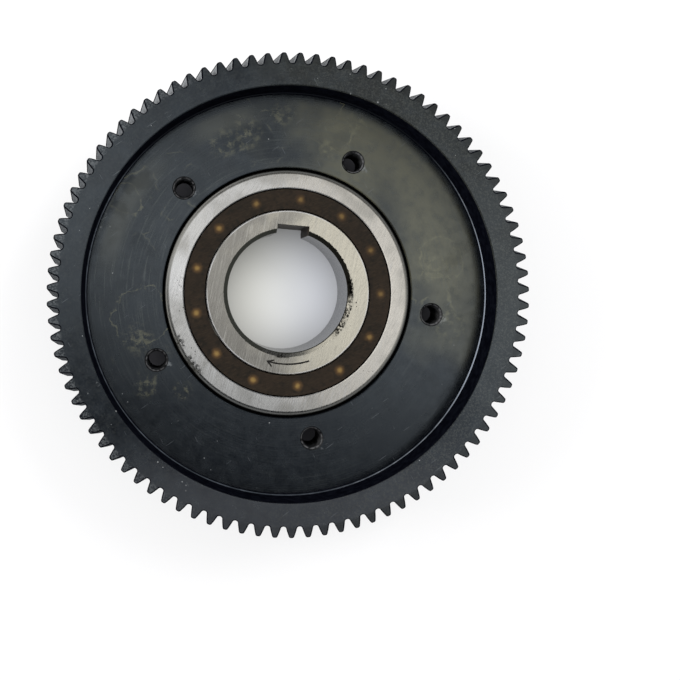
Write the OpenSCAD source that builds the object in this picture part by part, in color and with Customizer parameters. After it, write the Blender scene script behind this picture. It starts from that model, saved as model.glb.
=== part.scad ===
// Helical gear with a keyed one-way sprag clutch pressed into its centre.
// Millimetres. The origin is on the bore axis at the hub's back face, and +Z points out of
// the front face, which carries the arrow. Angles are counted anticlockwise from +X, seen
// from the front.

/* [Gear teeth] */
// Number of teeth
teeth = 91; // [85:1:97]
// Pitch diameter over number of teeth, measured square to the axis
gear_module = 1.25; // [1.2:0.05:1.35]
// Height of a tooth above the pitch circle
addendum = 1.1; // [0.9:0.05:1.25]
// Depth of a tooth space below the pitch circle
dedendum = 1.56; // [1.4:0.02:1.7]
// Slope of the teeth against the axis
helix_angle = 10.4; // [0:0.2:15]
// Width of the teeth along the axis
tooth_w = 9; // [8:0.5:10]
// Thinning of each tooth at the pitch circle
tooth_play = 0.1; // [0.04:0.02:0.2]
// Rounding of the two corners of a tooth's tip
tip_round = 0.35; // [0.1:0.05:0.4]
// Angle of the first tooth on the front face
tooth_phase = 0.6; // [0:0.1:3.9]

/* [Gear body] */
// Wall of the rim between the front recess and the tooth roots
rim_wall = 5.4; // [4:0.2:7]
// Height of the rim above the web
rim_rise = 7.8; // [6:0.2:8.4]
// Thickness of the web at the tapped holes
web_t = 9; // [8:0.5:11]
// Step from the tooth roots down to the flange behind the teeth
flange_step = 3.3; // [2.6:0.1:5]
// Wall of the hub around the clutch
hub_wall = 2.5; // [2:0.1:3.5]
// Thickness of the lip that the clutch seats on
lip_t = 2; // [1.5:0.25:3]
// Reach of the lip inwards from the clutch seat
lip_reach = 3; // [2:0.2:4]
// Fillet between the recess wall and the web
recess_fillet = 0.6; // [0.4:0.1:1.2]
// Fillet between the hub and the back of the web
hub_fillet = 0.4; // [0.2:0.05:0.4]
// Chamfer on the turned edges of the gear
edge_chamfer = 0.5; // [0.3:0.1:0.8]

/* [Tapped holes] */
// Number of tapped holes in the web
bolt_count = 5; // [3:1:6]
// Tapping diameter of the holes
bolt_hole_d = 4.2; // [3.3:0.1:5]
// Land between the hub and the edge of a tapped hole
bolt_land = 0.8; // [0.5:0.1:1.5]
// Widening of a hole's mouth by its countersink, on the radius
bolt_mouth = 0.9; // [0.4:0.1:1.2]
// Angle of the first tapped hole
bolt_phase = 63; // [55:1:70]

/* [Clutch rings] */
// Diameter of the keyed bore
bore_d = 30; // [29:0.5:31]
// Wall of the inner ring between the bore and its track
inner_wall = 5.35; // [5:0.05:5.8]
// Wall of the outer ring between its track and its outside
outer_wall = 5.1; // [4.6:0.05:5.6]
// Rounding of the outer ring's outside edges
ring_round = 1.6; // [1:0.1:2]
// Chamfer of the bore
bore_chamfer = 1; // [0.6:0.1:1.4]
// Small chamfer on the edges of both tracks
track_chamfer = 0.2; // [0.1:0.05:0.3]
// Width of the keyway
key_w = 8; // [6:0.5:9]
// Depth of the keyway below the bore
key_depth = 1.7; // [1.3:0.1:2]
// Angle of the keyway
key_angle = 85; // [75:1:95]

/* [Arrow] */
// Angle that the arrow spans on the inner ring
arrow_span = 34; // [24:1:44]
// Width of the engraved line
arrow_line = 0.4; // [0.3:0.05:0.5]
// Depth of the engraved line
arrow_depth = 0.12; // [0.08:0.02:0.2]
// Length of each barb of the arrow's head
barb = 1.7; // [1.2:0.1:2]
// Angle between the line and the barb on its outer side
outer_barb_angle = 35; // [20:5:45]
// Angle between the line and the barb on its inner side
inner_barb_angle = 25; // [20:5:45]

/* [Ball row] */
// Number of balls
ball_count = 13; // [9:1:13]
// Diameter of a ball, which also sets the space between the two tracks
ball_d = 6.35; // [6:0.05:6.7]
// Depth of the ball grooves below the tracks
groove_depth = 0.4; // [0.3:0.05:0.5]
// Angle of the first ball
ball_phase = -1.2; // [-8:0.2:8]
// Distance of the cage's front from the clutch's front face
cage_recess = 0.4; // [0.2:0.05:0.5]
// Distance from the cage's front to the balls behind it
cage_nose = 1.025; // [0.8:0.025:1.3]
// Reach of the cage past the ball centres
cage_grip = 1.2; // [0.8:0.1:1.6]

/* [Sprag row] */
// Number of sprags
sprag_count = 20; // [12:1:20]
// Length of a sprag along the axis
sprag_len = 4.5; // [3.5:0.25:4.5]
// Distance from the sprag's pivot out to the centre of its outer cam
outer_cam_rise = 0.75; // [0.6:0.05:0.9]
// Distance from the sprag's pivot in to the centre of its inner cam
inner_cam_rise = 1; // [0.8:0.05:1.1]
// Sideways distance between the two cam centres, which wedges the sprag
cam_offset = 0.5; // [0.3:0.05:0.6]
// Width of the rim on each side of the sprag windows
window_rim = 0.7; // [0.5:0.05:0.7]
// Thickness of the two sprag cages
sprag_cage_t = 0.5; // [0.4:0.05:0.6]
// Thickness of the ribbon spring
spring_t = 0.2; // [0.15:0.05:0.3]

/* [Back cover] */
// Thickness of the cover ring behind the sprags
cover_t = 0.9; // [0.6:0.1:1]
// Distance of the cover's back from the clutch's back face
cover_recess = 0.4; // [0.2:0.1:0.5]

/* [Clearances] */
// Play of a ball or a sprag between the tracks, on each side
track_play = 0.02; // [0.01:0.01:0.04]
// Gap between the cage or cover and a ring that turns past it
ring_gap = 0.3; // [0.25:0.05:0.4]
// Gap between a ball and its pocket
pocket_gap = 0.15; // [0.1:0.05:0.2]
// Gap between a sprag and its windows, both sides together
window_gap = 0.5; // [0.4:0.05:0.6]
// Gap between the balls and the rims of the sprag row
row_gap = 0.425; // [0.3:0.025:0.6]
// Gap between the sprag row and the cover behind it
cover_gap = 0.3; // [0.2:0.05:0.4]

/* [Hidden] */
$fn = 180;
over = 1; // how far a cutter runs past the face that it cuts
pressure_angle = 20;
root_round = 0.45; // depth of the rounded bottom of a tooth space
flank_steps = 3;
tip_steps = 3;
root_steps = 4;

// Radii in the clutch
bore_r = bore_d/2;
inner_track_r = bore_r + inner_wall;
track_gap = ball_d - 2*groove_depth;
outer_track_r = inner_track_r + track_gap;
pitch_track_r = (inner_track_r + outer_track_r)/2;
clutch_r = outer_track_r + outer_wall;
arrow_r = (bore_r + bore_chamfer + inner_track_r)/2 - arrow_line;
arrow_mid = 270; // the arrow lies opposite the keyway and points clockwise

// Heights in the clutch, from its back face to its front face
ball_r = ball_d/2;
window_len = sprag_len + 0.3;
row_w = window_len + 2*window_rim;
clutch_back = lip_t;
cover_back = clutch_back + cover_recess;
cover_front = cover_back + cover_t;
row_back = cover_front + cover_gap;
row_front = row_back + row_w;
sprag_z = (row_back + row_front)/2;
ball_z = row_front + row_gap + ball_r;
cage_back = ball_z - cage_grip;
cage_front = ball_z + ball_r + cage_nose;
clutch_front = cage_front + cage_recess;
clutch_w = clutch_front - clutch_back;

// Radii of the gear
pitch_r = gear_module*teeth/2;
base_r = pitch_r*cos(pressure_angle);
tip_r = pitch_r + addendum;
root_r = pitch_r - dedendum;
recess_r = root_r - rim_wall;
flange_r = root_r - flange_step;
hub_r = clutch_r + hub_wall;
lip_r = clutch_r - lip_reach;
bolt_r = hub_r + bolt_land + bolt_hole_d/2;

// Heights of the gear, from the hub's back face
web_front = clutch_front;
web_back = web_front - web_t;
rim_front = web_front + rim_rise;
rim_back = rim_front - tooth_w;

// One tooth and the space after it, as pairs of radius and angle from the tooth's middle
half_pitch = 180/teeth;
helix_turn = tooth_w*tan(helix_angle)/pitch_r*180/PI;
function involute(angle) = tan(angle)*180/PI - angle;
function tooth_half_angle(r) =
    half_pitch/2 - tooth_play/pitch_r/2*180/PI
    + involute(pressure_angle) - involute(acos(base_r/r));
function space_half_angle(r) = half_pitch - tooth_half_angle(r);
function polar(r, angle) = [r*cos(angle), r*sin(angle)];
tip_half = tooth_half_angle(tip_r);
tip_corner = min(tip_round, 0.8*tip_half*PI/180*tip_r);
flank_low = root_r + root_round;
flank_high = tip_r - tip_corner;
flank = [
    for (i = [0:flank_steps])
        let (r = flank_low + (flank_high - flank_low)*i/flank_steps)
        [r, tooth_half_angle(r)]
];
corner_start = flank[flank_steps];
corner_end = [tip_r, tip_half - tip_corner/tip_r*180/PI];
tip_curve = [ // a curve from the flank to the tip, drawn towards the sharp corner
    for (i = [1:tip_steps])
        let (t = i/tip_steps)
        pow(1 - t, 2)*corner_start + 2*t*(1 - t)*[tip_r, tip_half] + pow(t, 2)*corner_end
];
tooth = concat(
    [for (p = concat(flank, tip_curve)) [p[0], -p[1]]],
    [for (i = [tip_steps - 1:-1:0]) tip_curve[i]],
    [for (i = [flank_steps:-1:0]) flank[i]],
    [for (i = [1:root_steps - 1])
        let (t = 180*i/root_steps)
        [flank_low - root_round*sin(t), half_pitch - space_half_angle(flank_low)*cos(t)]]
);
tooth_ring = [
    for (k = [0:teeth - 1], p = tooth)
        polar(p[0], p[1] + k*2*half_pitch)
];

// Ball row
groove_r = ball_r + 4*track_play; // the groove is a little rounder than the ball
groove_shift = groove_r - ball_r - track_play;
ball_step = 360/ball_count;
relief_r = 1.1; // hollow in the cage between two pockets
relief_top = ball_z + ball_r/2;

// Sprag row
sprag_step = 360/sprag_count;
outer_cam_r = track_gap/2 - track_play - outer_cam_rise;
inner_cam_r = track_gap/2 - track_play - inner_cam_rise;
waist_r = 0.8; // hollow on each side of a sprag for the spring
waist_half = 1.25; // half of the sprag's width at its waist
cage_reach = track_gap/2 - ring_gap - sprag_cage_t; // from the pivots to either sprag cage

// Width of a sprag, and of its window, where a cam passes through a cage
function window_w(cam_r, cam_rise) =
    2*sqrt(pow(cam_r, 2) - pow(cage_reach - cam_rise, 2)) + cam_offset + window_gap;

function two_digits(i) = str(i < 10 ? "0" : "", i);
function ball_name(i) = str("ball_", two_digits(i));
function sprag_name(i) = str("sprag_", two_digits(i));

black_oxide = [0.17, 0.18, 0.19];
ground_steel = [0.72, 0.71, 0.68];
polished_steel = [0.8, 0.8, 0.82];
brown_plastic = [0.24, 0.19, 0.15];
dark_steel = [0.45, 0.45, 0.46];
spring_steel = [0.6, 0.57, 0.5];

// A flat ring between two radii and two heights
module ring(r_in, r_out, z_low, z_high) {
    translate([0, 0, z_low])
        linear_extrude(z_high - z_low)
            difference() {
                circle(r_out);
                circle(r_in);
            }
}

// A disc whose two rims are chamfered
module chamfered_disc(r, z_low, z_high, low_chamfer, high_chamfer) {
    rotate_extrude()
        polygon([
            [0, z_low],
            [r - low_chamfer, z_low],
            [r, z_low + low_chamfer],
            [r, z_high - high_chamfer],
            [r - high_chamfer, z_high],
            [0, z_high]
        ]);
}

// A cutter for a round mouth that opens upwards with a chamfered edge at height z
module mouth_cutter(r, z, chamfer) {
    rotate_extrude()
        polygon([
            [0, z - chamfer],
            [r, z - chamfer],
            [r + chamfer + over, z + over],
            [0, z + over]
        ]);
}

// The toothed rim, with teeth that turn anticlockwise on their way to the back
module toothed_disc() {
    translate([0, 0, rim_back])
        rotate(tooth_phase + helix_turn)
            linear_extrude(tooth_w, twist = helix_turn, slices = 1)
                polygon(tooth_ring);
}

// The recess in front of the web, with a filleted corner and a chamfered mouth
module recess_cutter() {
    corner_r = recess_r - recess_fillet;
    rotate_extrude()
        union() {
            translate([0, web_front])
                square([corner_r, rim_rise + over]);
            translate([0, web_front + recess_fillet])
                square([recess_r, rim_rise - recess_fillet + over]);
            intersection() {
                translate([corner_r, web_front + recess_fillet])
                    circle(recess_fillet);
                translate([corner_r, web_front])
                    square(recess_fillet);
            }
        }
    mouth_cutter(recess_r, rim_front, edge_chamfer/2);
}

module tapped_holes() {
    for (i = [0:bolt_count - 1])
        rotate(bolt_phase + i*360/bolt_count)
            translate([bolt_r, 0, 0]) {
                translate([0, 0, web_back - over])
                    cylinder(r = bolt_hole_d/2, h = web_t + 2*over);
                mouth_cutter(bolt_hole_d/2, web_front, bolt_mouth);
            }
}

// The hub, the web and the flange behind the teeth, turned in one piece
module turned_body() {
    rotate_extrude()
        union() {
            polygon([
                [0, 0],
                [hub_r - edge_chamfer, 0],
                [hub_r, edge_chamfer],
                [hub_r, web_back],
                [flange_r - edge_chamfer, web_back],
                [flange_r, web_back + edge_chamfer],
                [flange_r, rim_back + over],
                [0, rim_back + over]
            ]);
            translate([hub_r, web_back - hub_fillet])
                difference() {
                    square(hub_fillet);
                    translate([hub_fillet, 0])
                        circle(hub_fillet);
                }
        }
}

module gear() {
    color(black_oxide)
        difference() {
            union() {
                toothed_disc();
                turned_body();
            }
            recess_cutter();
            translate([0, 0, clutch_back])
                cylinder(r = clutch_r, h = clutch_w + over);
            mouth_cutter(clutch_r, web_front, edge_chamfer/2);
            translate([0, 0, -over])
                cylinder(r = lip_r, h = lip_t + 2*over);
            tapped_holes();
        }
}

// Half of the space that the rounded outer edges leave, as a profile in the corner
module rounded_corner_profile(r, z, up) {
    translate([r - ring_round, z - up*ring_round])
        difference() {
            translate([0, up > 0 ? 0 : -ring_round - over])
                square(ring_round + over);
            circle(ring_round);
        }
}

// The groove that the balls roll in, cut about the given pitch radius
module ball_groove(r) {
    rotate_extrude()
        translate([r, ball_z])
            circle(groove_r);
}

module outer_ring() {
    color(ground_steel)
        difference() {
            rotate_extrude()
                difference() {
                    translate([outer_track_r, clutch_back])
                        square([clutch_r - outer_track_r, clutch_w]);
                    rounded_corner_profile(clutch_r, clutch_front, 1);
                    rounded_corner_profile(clutch_r, clutch_back, -1);
                }
            ball_groove(pitch_track_r - groove_shift);
            mouth_cutter(outer_track_r, clutch_front, track_chamfer);
        }
}

// One barb of the arrow's head, drawn back from the tip at an angle to the line
module barb_cutter(turn) {
    rotate(arrow_mid - arrow_span/2)
        translate([arrow_r, 0, clutch_front - arrow_depth])
            rotate(turn)
                translate([-arrow_line/2, -arrow_line/2, 0])
                    cube([arrow_line, barb, arrow_depth + over]);
}

module arrow_cutter() {
    rotate(arrow_mid - arrow_span/2)
        rotate_extrude(angle = arrow_span)
            translate([arrow_r - arrow_line/2, clutch_front - arrow_depth])
                square([arrow_line, arrow_depth + over]);
    barb_cutter(outer_barb_angle);
    barb_cutter(-inner_barb_angle);
}

module keyway_cutter() {
    rotate(key_angle)
        translate([0, -key_w/2, clutch_back - over])
            cube([bore_r + key_depth, key_w, clutch_w + 2*over]);
}

module inner_ring() {
    color(ground_steel)
        difference() {
            chamfered_disc(inner_track_r, clutch_back, clutch_front, track_chamfer, track_chamfer);
            translate([0, 0, clutch_back - over])
                cylinder(r = bore_r, h = clutch_w + 2*over);
            mouth_cutter(bore_r, clutch_front, bore_chamfer);
            translate([0, 0, 2*clutch_back + clutch_w])
                mirror([0, 0, 1])
                    mouth_cutter(bore_r, clutch_front, bore_chamfer);
            keyway_cutter();
            ball_groove(pitch_track_r + groove_shift);
            arrow_cutter();
        }
}

// Puts its children at the place of ball number i
module at_ball(i) {
    rotate(ball_phase + (i - 1)*ball_step)
        translate([pitch_track_r, 0, ball_z])
            children();
}

// One-piece crown cage: a closed front, and pockets that hold the balls from behind
module ball_cage() {
    color(brown_plastic)
        difference() {
            ring(inner_track_r + ring_gap, outer_track_r - ring_gap, cage_back, cage_front);
            for (i = [1:ball_count]) {
                at_ball(i)
                    sphere(ball_r + pocket_gap);
                rotate(ball_step/2)
                    at_ball(i)
                        translate([0, 0, cage_back - ball_z - over])
                            cylinder(r = relief_r, h = relief_top - cage_back + over);
            }
        }
}

module ball(i) {
    color(polished_steel)
        at_ball(i)
            sphere(ball_r);
}

// Puts its children at the pivot of sprag number i, with +X pointing outwards
module at_sprag(i) {
    rotate((i - 1)*sprag_step)
        translate([pitch_track_r, 0, sprag_z - sprag_len/2])
            children();
}

// Two cams on offset centres, with a waist for the spring between them. Turned
// anticlockwise the sprag gets lower and frees the rings, and clockwise it wedges.
module sprag(i) {
    color(dark_steel)
        at_sprag(i)
            linear_extrude(sprag_len)
                difference() {
                    union() {
                        translate([outer_cam_rise, cam_offset/2])
                            circle(outer_cam_r);
                        translate([-inner_cam_rise, -cam_offset/2])
                            circle(inner_cam_r);
                    }
                    for (side = [-1, 1])
                        translate([0, side*(waist_half + waist_r)])
                            circle(waist_r);
                }
}

// A thin ring with one window for each sprag, given its radii and the windows' width
module windowed_ring(r_in, r_out, width) {
    difference() {
        ring(r_in, r_out, row_back, row_front);
        for (i = [1:sprag_count])
            rotate((i - 1)*sprag_step)
                translate([r_in - over, -width/2, sprag_z - window_len/2])
                    cube([r_out - r_in + 2*over, width, window_len]);
    }
}

module sprag_outer_cage() {
    color(dark_steel)
        windowed_ring(
            outer_track_r - ring_gap - sprag_cage_t,
            outer_track_r - ring_gap,
            window_w(outer_cam_r, outer_cam_rise)
        );
}

module sprag_inner_cage() {
    color(dark_steel)
        windowed_ring(
            inner_track_r + ring_gap,
            inner_track_r + ring_gap + sprag_cage_t,
            window_w(inner_cam_r, inner_cam_rise)
        );
}

// Ribbon spring that presses on the waists of the sprags
module sprag_spring() {
    color(spring_steel)
        windowed_ring(
            pitch_track_r - spring_t/2,
            pitch_track_r + spring_t/2,
            2*waist_half + window_gap
        );
}

module back_cover() {
    color(brown_plastic)
        ring(
            inner_track_r + ring_gap,
            outer_track_r - track_play,
            cover_back,
            cover_front
        );
}

gear();
outer_ring();
inner_ring();
ball_cage();
sprag_outer_cage();
sprag_inner_cage();
sprag_spring();
back_cover();
for (i = [1:ball_count])
    ball(i);
for (i = [1:sprag_count])
    sprag(i);
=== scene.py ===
import math
from types import SimpleNamespace

import bmesh
import bpy
from mathutils import Matrix, Vector


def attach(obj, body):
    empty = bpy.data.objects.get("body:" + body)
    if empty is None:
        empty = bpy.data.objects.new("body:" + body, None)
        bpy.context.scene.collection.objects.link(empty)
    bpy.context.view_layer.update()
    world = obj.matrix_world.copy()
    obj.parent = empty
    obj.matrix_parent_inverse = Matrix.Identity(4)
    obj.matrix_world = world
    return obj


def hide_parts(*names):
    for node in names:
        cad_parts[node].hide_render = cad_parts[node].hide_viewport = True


# A black helical gear with a keyed one-way sprag clutch pressed into its centre, lying face
# up. Lengths are written in millimetres and turned to metres as a mesh is made. Angles are
# counted anticlockwise from +X, seen from the front.

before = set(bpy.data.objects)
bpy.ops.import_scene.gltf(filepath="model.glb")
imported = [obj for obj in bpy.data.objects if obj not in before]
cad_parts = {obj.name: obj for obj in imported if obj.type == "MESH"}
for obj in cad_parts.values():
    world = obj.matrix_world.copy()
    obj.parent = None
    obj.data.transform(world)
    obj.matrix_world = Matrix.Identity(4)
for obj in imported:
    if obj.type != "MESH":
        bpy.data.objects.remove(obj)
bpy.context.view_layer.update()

MM = 0.001
TAU = 2 * math.pi

# The camera stands where the photograph was taken, which was found from the circles of the
# gear and of the clutch. Its axis meets the picture left of and above the middle.
CAMERA_AT = Vector((-26.002, 1.848, 230.731))
CAMERA_LOOKS = Vector((0.06139, 0.04134, -0.99726))
CAMERA_UP = Vector((-0.00086, 0.99914, 0.04136))
SENSOR = 36
FOCAL_LENGTH = 45.68
SHIFT_X = 0.1529
SHIFT_Y = -0.1338

# Gear teeth
TEETH = 91
GEAR_MODULE = 1.25
ADDENDUM = 1.1
DEDENDUM = 1.56
HELIX_ANGLE = math.radians(10.4)
PRESSURE_ANGLE = math.radians(20)
TOOTH_WIDTH = 9
TOOTH_PLAY = 0.1
TOOTH_PHASE = math.radians(0.6)
TIP_BREAK = 0.35
ROOT_ROUND = 0.45
TOOTH_EDGE = 0.3
PITCH_R = GEAR_MODULE * TEETH / 2
BASE_R = PITCH_R * math.cos(PRESSURE_ANGLE)
TIP_R = PITCH_R + ADDENDUM
ROOT_R = PITCH_R - DEDENDUM

# Gear body
RECESS_R = 49.915
RECESS_FILLET = 0.6
FLANGE_R = 52.015
HUB_R = 33.5
HUB_FILLET = 0.4
SEAT_R = 31
LIP_R = 28
LIP_TOP = 2
WEB_BACK = 9
WEB_FRONT = 18
RIM_BACK = 16.8
RIM_FRONT = 25.8
TURNED_CHAMFER = 0.5
EDGE_BREAK = 0.25

# Tapped holes
HOLE_COUNT = 5
HOLE_CIRCLE_R = 36.4
HOLE_PHASE = math.radians(63)
HOLE_R = 2.1
HOLE_MOUTH = 0.82
THREAD_PITCH = 0.8
THREAD_DEPTH = 0.4

# Clutch rings
CLUTCH_BACK = 2
CLUTCH_FRONT = 18
BORE_R = 15
BORE_CHAMFER = 1
INNER_TRACK_R = 20.35
OUTER_TRACK_R = 25.9
TRACK_CHAMFER = 0.2
RING_ROUND = 1.6
KEY_WIDTH = 8
KEY_DEPTH = 1.7
KEY_ANGLE = math.radians(85)
ARROW_R = 17.775
ARROW_TIP = math.radians(253)
ARROW_TAIL = math.radians(287)
ARROW_LINE = 0.4
ARROW_DEPTH = 0.12
BARB = 1.7
BARB_ANGLES = (math.radians(35), math.radians(-25))

# Ball row
BALL_COUNT = 13
BALL_PHASE = math.radians(-1.2)
BALL_Z = 13.4
PITCH_TRACK_R = 23.125
GROOVE_R = 3.255
GROOVE_SHIFT = 0.06

OVER = 1  # how far a cutter runs past the face that it cuts
HOLD = 0.05  # a narrow strip beside a rounding, which keeps the shading of the wall straight
WELD = 0.002  # how close the corners of two copies are when they become one

# Fineness of the meshes, in steps
FLANK_STEPS = 5
SECTOR_STEPS = 4
FILLET_STEPS = 8
HUB_FILLET_STEPS = 6
RING_STEPS = 360
GROOVE_STEPS = 14
ROUNDING_STEPS = 12
ARROW_STEPS = 24
THREAD_STEPS_ROUND = 24
THREAD_STEPS_PER_PITCH = 6

# Floor
FLOOR_REACH = 2500
FLOOR_DROP = 0.02  # keeps the paper clear of the hub's back face


def linear(hex_colour):
    """An sRGB hex colour as linear red, green, blue and alpha."""
    parts = [int(hex_colour[i:i + 2], 16) / 255 for i in (0, 2, 4)]
    return [c / 12.92 if c <= 0.04045 else ((c + 0.055) / 1.055) ** 2.4 for c in parts] + [1]


def add(tree, kind, inputs=None, **settings):
    """Add a node. Settings are its own properties. Inputs go by name or number, and each is a
    value or the output socket of another node."""
    node = tree.nodes.new(kind)
    for name, value in settings.items():
        setattr(node, name, value)
    for key, value in (inputs or {}).items():
        if isinstance(value, bpy.types.NodeSocket):
            tree.links.new(value, node.inputs[key])
        else:
            node.inputs[key].default_value = value
    return node


# Camera

def place_camera():
    camera = bpy.data.objects.new("camera", bpy.data.cameras.new("camera"))
    bpy.context.scene.collection.objects.link(camera)
    bpy.context.scene.camera = camera
    camera.data.sensor_width = SENSOR
    camera.data.lens = FOCAL_LENGTH
    camera.data.shift_x = SHIFT_X
    camera.data.shift_y = SHIFT_Y
    camera.data.clip_start = 10 * MM
    back = -CAMERA_LOOKS.normalized()
    right = CAMERA_UP.cross(back).normalized()
    up = back.cross(right)
    turn = Matrix((right, up, back)).transposed()
    camera.matrix_world = Matrix.Translation(CAMERA_AT * MM) @ turn.to_4x4()


place_camera()


# Meshes

def mesh_object(name, points, faces):
    """An object from points in millimetres and faces of point numbers."""
    mesh = bpy.data.meshes.new(name)
    mesh.from_pydata([Vector(p) * MM for p in points], [], faces)
    made = bpy.data.objects.new(name, mesh)
    bpy.context.scene.collection.objects.link(made)
    return made


def settle(piece):
    """Turn the piece with its modifiers into a plain mesh."""
    view = bpy.context.evaluated_depsgraph_get()
    mesh = bpy.data.meshes.new_from_object(piece.evaluated_get(view))
    piece.modifiers.clear()
    piece.data = mesh
    return piece


def face_outwards(piece):
    bm = bmesh.new()
    bm.from_mesh(piece.data)
    bmesh.ops.recalc_face_normals(bm, faces=bm.faces)
    bm.to_mesh(piece.data)
    bm.free()


def shade(piece, sharp_angle=30):
    """Smooth shading, except across edges that bend by more than an angle in degrees, and on
    the faces that lie square to the axis."""
    piece.data.shade_smooth()
    piece.data.set_sharp_from_angle(angle=math.radians(sharp_angle))
    for face in piece.data.polygons:
        if abs(face.normal.z) > 0.99999:
            face.use_smooth = False


def cut(piece, cutter):
    """Cut one solid out of another. The cut faces take the cutter's material."""
    modifier = piece.modifiers.new("cut", "BOOLEAN")
    modifier.operation = "DIFFERENCE"
    modifier.solver = "EXACT"
    modifier.material_mode = "TRANSFER"
    modifier.object = cutter
    settle(piece)
    bpy.data.objects.remove(cutter)


def revolve(name, outline, steps, material):
    """A closed ring from a closed outline of radius and height."""
    points = [
        (r * math.cos(TAU * k / steps), r * math.sin(TAU * k / steps), z)
        for k in range(steps) for r, z in outline
    ]
    n = len(outline)
    faces = [
        (k * n + i, (k + 1) % steps * n + i, (k + 1) % steps * n + (i + 1) % n, k * n + (i + 1) % n)
        for k in range(steps) for i in range(n)
    ]
    ring = mesh_object(name, points, faces)
    ring.data.materials.append(material)
    face_outwards(ring)
    return ring


def arc(centre, radius, start, end, steps):
    """Points of an arc in the plane of radius and height, with its angles in degrees."""
    turns = [math.radians(start + (end - start) * i / steps) for i in range(steps + 1)]
    return [(centre[0] + radius * math.cos(t), centre[1] + radius * math.sin(t)) for t in turns]


def prism(name, outline, z_low, z_high, material):
    """A solid from an outline of x and y, which runs anticlockwise."""
    n = len(outline)
    points = [(x, y, z) for z in (z_low, z_high) for x, y in outline]
    faces = [(i, (i + 1) % n, n + (i + 1) % n, n + i) for i in range(n)]
    solid = mesh_object(name, points, faces + [tuple(range(n))[::-1], tuple(range(n, 2 * n))])
    solid.data.materials.append(material)
    return solid


def ring_of_copies_tree():
    """Geometry Nodes: copies of a mesh, each turned about Z, welded where they meet."""
    tree = bpy.data.node_groups.new("ring of copies", "GeometryNodeTree")
    tree.is_modifier = True
    wanted = (
        ("Mesh", "INPUT", "NodeSocketGeometry"),
        ("Count", "INPUT", "NodeSocketInt"),
        ("First angle", "INPUT", "NodeSocketFloat"),
        ("Weld distance", "INPUT", "NodeSocketFloat"),
        ("Material", "INPUT", "NodeSocketMaterial"),
        ("Mesh", "OUTPUT", "NodeSocketGeometry"),
    )
    for name, way, kind in wanted:
        tree.interface.new_socket(name=name, in_out=way, socket_type=kind)
    given = add(tree, "NodeGroupInput").outputs
    points = add(tree, "GeometryNodePoints", {"Count": given["Count"]})
    index = add(tree, "GeometryNodeInputIndex").outputs[0]
    step = add(tree, "ShaderNodeMath", {0: TAU, 1: given["Count"]}, operation="DIVIDE")
    turn = add(
        tree, "ShaderNodeMath",
        {0: index, 1: step.outputs[0], 2: given["First angle"]}, operation="MULTIPLY_ADD",
    )
    rotation = add(tree, "ShaderNodeCombineXYZ", {"Z": turn.outputs[0]})
    copies = add(tree, "GeometryNodeInstanceOnPoints", {
        "Points": points.outputs[0], "Instance": given["Mesh"], "Rotation": rotation.outputs[0],
    })
    real = add(tree, "GeometryNodeRealizeInstances", {0: copies.outputs[0]})
    welded = add(tree, "GeometryNodeMergeByDistance", {
        "Geometry": real.outputs[0], "Distance": given["Weld distance"],
    })
    finished = add(tree, "GeometryNodeSetMaterial", {
        "Geometry": welded.outputs[0], "Material": given["Material"],
    })
    add(tree, "NodeGroupOutput", {0: finished.outputs[0]})
    return tree


RING_OF_COPIES = ring_of_copies_tree()


def copy_round(piece, count, first_angle, material):
    """Copy the piece round the axis with Geometry Nodes, as one plain mesh."""
    modifier = piece.modifiers.new("ring of copies", "NODES")
    modifier.node_group = RING_OF_COPIES
    values = {
        "Count": count, "First angle": first_angle, "Weld distance": WELD * MM,
        "Material": material,
    }
    for item in RING_OF_COPIES.interface.items_tree:
        if item.in_out == "INPUT" and item.name in values:
            modifier[item.identifier] = values[item.name]
    settle(piece)
    face_outwards(piece)


# Materials

MIX_FACTOR, MIX_A, MIX_B, MIX_COLOUR = 0, 6, 7, 2  # the sockets of a colour mix


def new_material(name):
    material = bpy.data.materials.new(name)
    material.use_nodes = True
    material.node_tree.nodes.clear()
    return material, material.node_tree


def place_in_mm(tree):
    """Object coordinates in millimetres."""
    place = add(tree, "ShaderNodeTexCoord").outputs["Object"]
    return add(tree, "ShaderNodeVectorMath", {
        0: place, "Scale": 1 / MM,
    }, operation="SCALE").outputs[0]


def from_axis(tree, place):
    """X, Y, Z and the distance from the bore axis, all in mm."""
    parts = add(tree, "ShaderNodeSeparateXYZ", {0: place}).outputs
    flat = add(tree, "ShaderNodeCombineXYZ", {"X": parts["X"], "Y": parts["Y"]}).outputs[0]
    radius = add(tree, "ShaderNodeVectorMath", {0: flat}, operation="LENGTH").outputs["Value"]
    return parts["X"], parts["Y"], parts["Z"], radius


def combine(tree, *terms, by="MULTIPLY"):
    """Terms joined into one value, by default their product. A term is a number, an output, or
    an output with two limits, between which it goes smoothly from 0 to 1, or from a first
    given value to a second."""
    total = None
    for term in terms:
        if isinstance(term, tuple):
            value, low, high, *ends = term
            out_low, out_high = ends or (0, 1)
            term = add(tree, "ShaderNodeMapRange", {
                "Value": value, "From Min": low, "From Max": high,
                "To Min": out_low, "To Max": out_high,
            }, interpolation_type="SMOOTHSTEP").outputs[0]
        if total is None:
            total = term
        else:
            total = add(tree, "ShaderNodeMath", {0: total, 1: term}, operation=by).outputs[0]
    return total


def coat(tree, under, over, *terms):
    """One colour laid over another, as far as the product of the terms says."""
    under, over = (linear(c) if isinstance(c, str) else c for c in (under, over))
    return add(tree, "ShaderNodeMix", {
        MIX_FACTOR: combine(tree, *terms), MIX_A: under, MIX_B: over,
    }, data_type="RGBA").outputs[MIX_COLOUR]


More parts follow.
